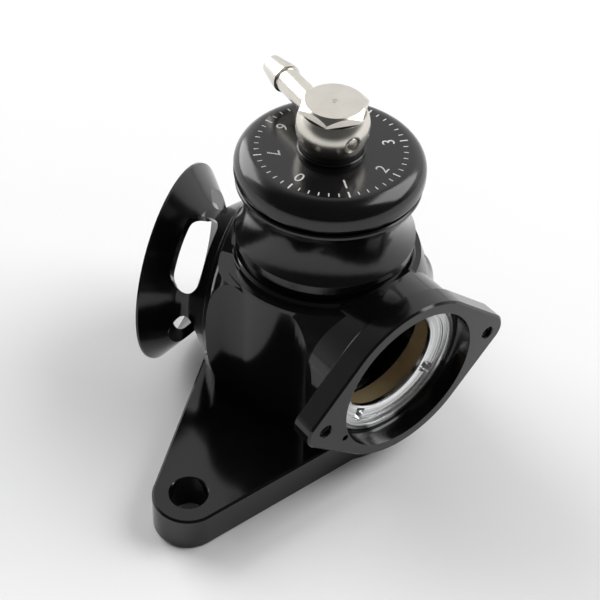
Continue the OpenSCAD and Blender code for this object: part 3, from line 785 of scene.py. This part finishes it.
@dataclass(frozen=True)
class View:
    """The photograph's camera: millimetres, degrees and pixels."""

    azimuth: float = 30.522
    elevation: float = 43.540
    roll: float = 3.385
    distance: float = 325.408
    target: tuple[float, float, float] = (4.034, -3.429, 30.0)
    focal_px: float = 1314.254
    frame_px: float = 600.0
    sensor: float = 36.0
    near_clip: float = 0.01

    def axes(self) -> tuple[Vector, Vector, Vector]:
        """The camera's own axes.

        Returns:
            Right, up and back.
        """
        az, el, roll = (math.radians(v) for v in (self.azimuth, self.elevation, self.roll))
        back = Vector((math.cos(az) * math.cos(el), math.sin(az) * math.cos(el), math.sin(el)))
        right = Vector((-math.sin(az), math.cos(az), 0.0))
        up = back.cross(right)
        return (right * math.cos(roll) + up * math.sin(roll),
                up * math.cos(roll) - right * math.sin(roll), back)

    def build(self) -> bpy.types.Object:
        """Makes the camera and gives it to the scene.

        Returns:
            The camera.
        """
        right, up, back = self.axes()
        lens = bpy.data.cameras.new("photo_view")
        lens.sensor_width = self.sensor
        lens.lens = self.sensor * self.focal_px / self.frame_px
        lens.clip_start = self.near_clip
        camera = bpy.data.objects.new("photo_view", lens)
        place = Matrix((right, up, back)).transposed().to_4x4()
        place.translation = (Vector(self.target) + back * self.distance) * MM
        camera.matrix_world = place
        bpy.context.scene.collection.objects.link(camera)
        bpy.context.scene.camera = camera
        return camera


@dataclass(frozen=True)
class Softbox:
    """A square soft lamp: where it hangs and what it faces in metres, its side and its power."""

    name: str
    place: tuple[float, float, float]
    aim: tuple[float, float, float]
    size: float
    watts: float

    def build(self) -> bpy.types.Object:
        """Hangs the lamp.

        Returns:
            The lamp.
        """
        light = bpy.data.lights.new(self.name, "AREA")
        light.shape, light.size, light.energy = "SQUARE", self.size, self.watts
        lamp = bpy.data.objects.new(self.name, light)
        turn = (Vector(self.place) - Vector(self.aim)).to_track_quat("Z", "Y").to_matrix().to_4x4()
        lamp.matrix_world = Matrix.Translation(self.place) @ turn
        bpy.context.scene.collection.objects.link(lamp)
        return lamp


@dataclass
class Studio:
    """Pale floor whose colour carries painted light and painted shade, two soft lamps and a pale sweep in a
    dark room.
    """

    floor_half: float = 3.0
    # Painted light: the floor colour brightens from far_tone to the near tone over the fade span, in place of
    # lamp light that falls off towards the camera.
    far_tone: float = 0.86
    near_painted_light_tone: float = 0.95
    painted_light_fade: tuple[float, float] = (-0.03, 0.14)
    # Painted shade: over the end span behind the camera the floor colour falls to nearly black, standing in
    # for the unlit room.
    end: tuple[float, float] = (0.2, 0.45)
    painted_shade_tone: float = 0.06
    mottle: float = 0.02
    to_camera: tuple[float, float, float] = (0.861, 0.508, 0.0)
    sweep: float = 0.95
    room: float = 0.08
    to_sweep: tuple[float, float, float] = (-0.76, -0.65, -0.55)
    sweep_span: tuple[float, float] = (-0.4, 0.3)
    lamps: tuple[Softbox, ...] = (
        Softbox("right_softbox", (-0.6, 0.6, 0.8), (0.0, 0.0, 0.02), 0.9, 11.0),
        Softbox("left_softbox", (-0.12, -0.95, 0.5), (0.0, 0.0, 0.03), 0.8, 9.0))

    def floor(self) -> bpy.types.Object:
        """The floor under the base plate, with a soft mottle, painted light that brightens its colour towards
        the camera, and painted shade that darkens it to near black behind the camera.

        Returns:
            The floor.
        """
        mesh = bpy.data.meshes.new("floor")
        h = self.floor_half
        mesh.from_pydata([(-h, -h, 0), (h, -h, 0), (h, h, 0), (-h, h, 0)], [], [(0, 1, 2, 3)])
        piece = linked("floor", mesh)
        material = bpy.data.materials.new("floor_painted_light_and_shade")
        material.use_nodes = True
        graph = Graph(material.node_tree)
        shader = material.node_tree.nodes["Principled BSDF"]
        here = graph.node("ShaderNodeTexCoord", out="Object")
        blotch = graph.node("ShaderNodeTexNoise", None, {"Vector": here, "Scale": 6.0, "Detail": 2.0})
        near = graph.node("ShaderNodeVectorMath", {"operation": "DOT_PRODUCT"},
                          {0: here, 1: self.to_camera}, out="Value")
        # Painted light: the floor colour brightens towards the camera, plus a random mottle.
        pale = near.ramp(*self.painted_light_fade, self.far_tone, self.near_painted_light_tone) + (blotch - 0.5) * self.mottle
        # Painted shade: the floor colour falls to nearly black behind the camera.
        tone = pale * near.ramp(*self.end, 1.0, self.painted_shade_tone)
        colour = graph.node("ShaderNodeCombineColor", None, {"Red": tone, "Green": tone, "Blue": tone})
        material.node_tree.links.new(colour.socket, shader.inputs["Base Color"])
        shader.inputs["Roughness"].default_value = 0.9
        shader.inputs["Specular IOR Level"].default_value = 0.1
        mesh.materials.append(material)
        return piece

    def world(self) -> None:
        """A pale sweep behind the part that fades to a dark room overhead and towards the camera."""
        world = bpy.data.worlds.new("surround")
        bpy.context.scene.world = world
        world.use_nodes = True
        graph = Graph(world.node_tree)
        shader = world.node_tree.nodes["Background"]
        way = graph.node("ShaderNodeTexCoord", out="Generated")
        behind = graph.node("ShaderNodeVectorMath", {"operation": "DOT_PRODUCT"},
                            {0: way, 1: self.to_sweep}, out="Value")
        tone = behind.ramp(*self.sweep_span, self.room, self.sweep)
        colour = graph.node("ShaderNodeCombineColor", None, {"Red": tone, "Green": tone, "Blue": tone})
        world.node_tree.links.new(colour.socket, shader.inputs["Color"])

    def build(self) -> None:
        """Sets the floor, the lamps and the surround."""
        self.floor()
        self.world()
        for lamp in self.lamps:
            lamp.build()
        bpy.context.scene.view_settings.view_transform = "Standard"


HOUSING = Housing(
    "base",
    shells=(
        Shell("valve_body", "billet_body", BODY_BLACK, "black_anodise"),
        Shell("head", "waisted_head", TURNED_BLACK, "black_anodise"),
        Shell("trumpet", "outlet_trumpet", TRUMPET_BLACK, "black_anodise"),
        Shell("port_insert", "insert_ring", INSERT_ALUMINIUM, "bare_aluminium"),
        Shell("port_sleeve", "lining_sleeve", SLEEVE_BRASS, "brass"),
        Shell("seat_ring", "valve_seat", STEEL, "spring_steel"),
    ),
    inner={"base_o_ring": RUBBER, "head_o_ring": RUBBER, "guide_liner": POLYMER, "cap_retainer": STEEL,
           "trumpet_o_ring": RUBBER, "port_insert_o_ring": RUBBER})
PISTON = SubAssembly(
    "piston",
    shells=(Shell("piston", "valve_piston", TURNED_BLACK, "black_anodise"),),
    inner={"piston_nose_seal": RUBBER, "piston_wear_ring": POLYMER, "piston_ring_seal": RUBBER})
SPRING = ReturnSpring("base")
SPRING_SEAT = SubAssembly("spring_seat", inner={"spring_seat": SEAT_ALUMINIUM, "seat_keys": STEEL})
ADJUSTER = Adjuster(
    "cap",
    shells=(
        Shell("cap", "adjuster_cap", TURNED_BLACK, "black_anodise"),
        Shell("banjo_bolt", "hollow_bolt", BOLT_NICKEL, "nickel_plate"),
        Shell("lower_washer", "sealing_washer", RUBBER, "rubber"),
        Shell("upper_washer", "bolt_washer", RUBBER, "rubber"),
    ),
    inner={"cap_o_ring": RUBBER})
FITTING = SubAssembly(
    "banjo_eye",
    shells=(
        Shell("banjo_eye", "swivel_eye", EYE_NICKEL, "nickel_plate"),
        Shell("eye_plug", "drilling_plug", EYE_NICKEL, "nickel_plate"),
    ))


def main() -> None:
    """Builds the view, the sub-assemblies and the studio."""
    logging.basicConfig(level=logging.INFO, format="%(name)s: %(message)s")
    View().build()
    for part in (HOUSING, PISTON, SPRING, SPRING_SEAT, ADJUSTER, FITTING):
        for piece in part.build():
            LOG.info("%s: %d faces on %s", piece.name, len(piece.data.polygons), part.body)
    Studio().build()


if __name__ == "__main__":
    main()
